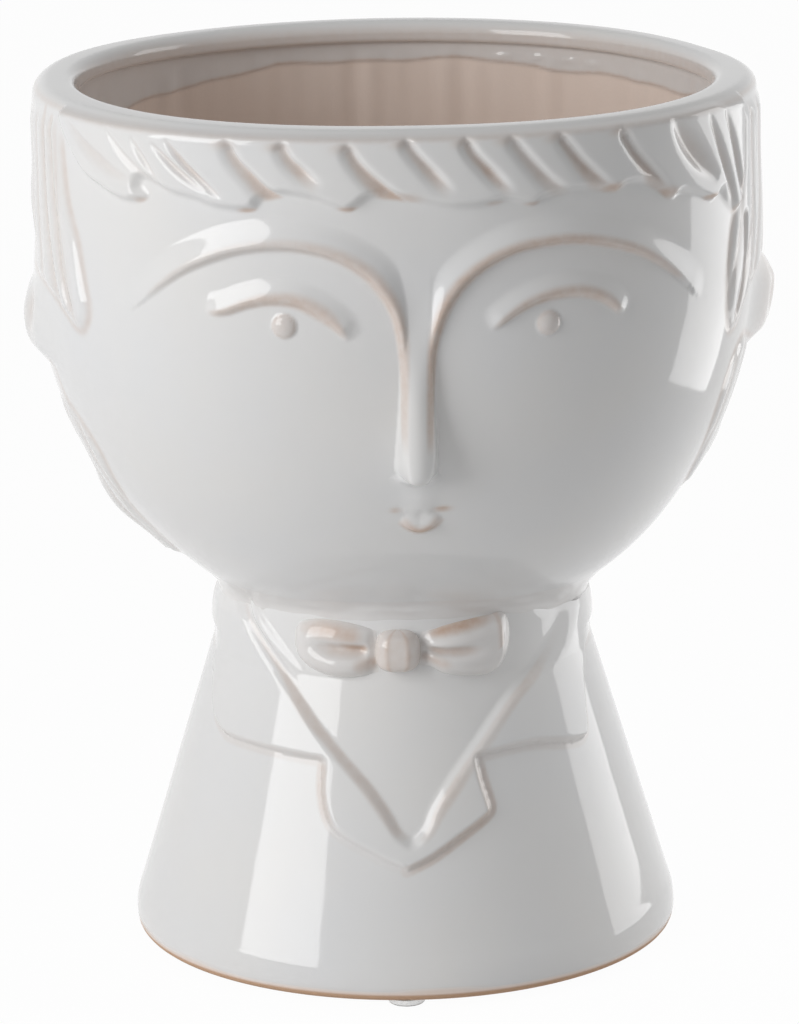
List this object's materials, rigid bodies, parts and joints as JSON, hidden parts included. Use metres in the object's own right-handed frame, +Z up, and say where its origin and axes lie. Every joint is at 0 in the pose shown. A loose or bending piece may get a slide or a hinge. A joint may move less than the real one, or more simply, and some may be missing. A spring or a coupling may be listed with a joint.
{
  "type": "head planter",
  "caption": "Glazed stoneware planter shaped as a calm face with a fringe, on a cone-shaped bust with coat lapels and a bow tie; the open crown is the planting bowl.",
  "frame": {"origin": "centre of the planter on the plane that the pads stand on", "axes": "+Z up, -Y out of the face, +X to the left-hand side of the head"},
  "size_m": [0.1885, 0.1746, 0.2218],
  "materials": {
    "head_glaze": "gloss white glaze that breaks to tan on the edges, bare pinkish-buff clay inside the bowl",
    "bust_glaze": "gloss white glaze that breaks to tan on the edges, bare buff clay at the foot",
    "slip_glaze": "gloss white glaze over a clay slip seam",
    "bow_glaze": "thin gloss white glaze with warm tan folds",
    "clear_pad": "clear soft polyurethane bumper",
    "pad_adhesive": "clear film of acrylic adhesive"
  },
  "bodies": {
    "root": {"head_bowl": "head_glaze", "bust_stand": "bust_glaze", "slip_joint": "slip_glaze", "bow_tie": "bow_glaze", "foot_pad_front": "clear_pad", "foot_pad_right": "clear_pad", "foot_pad_back": "clear_pad", "foot_pad_left": "clear_pad", "pad_adhesive_front": "pad_adhesive", "pad_adhesive_right": "pad_adhesive", "pad_adhesive_back": "pad_adhesive", "pad_adhesive_left": "pad_adhesive"}
  },
  "joints": []
}
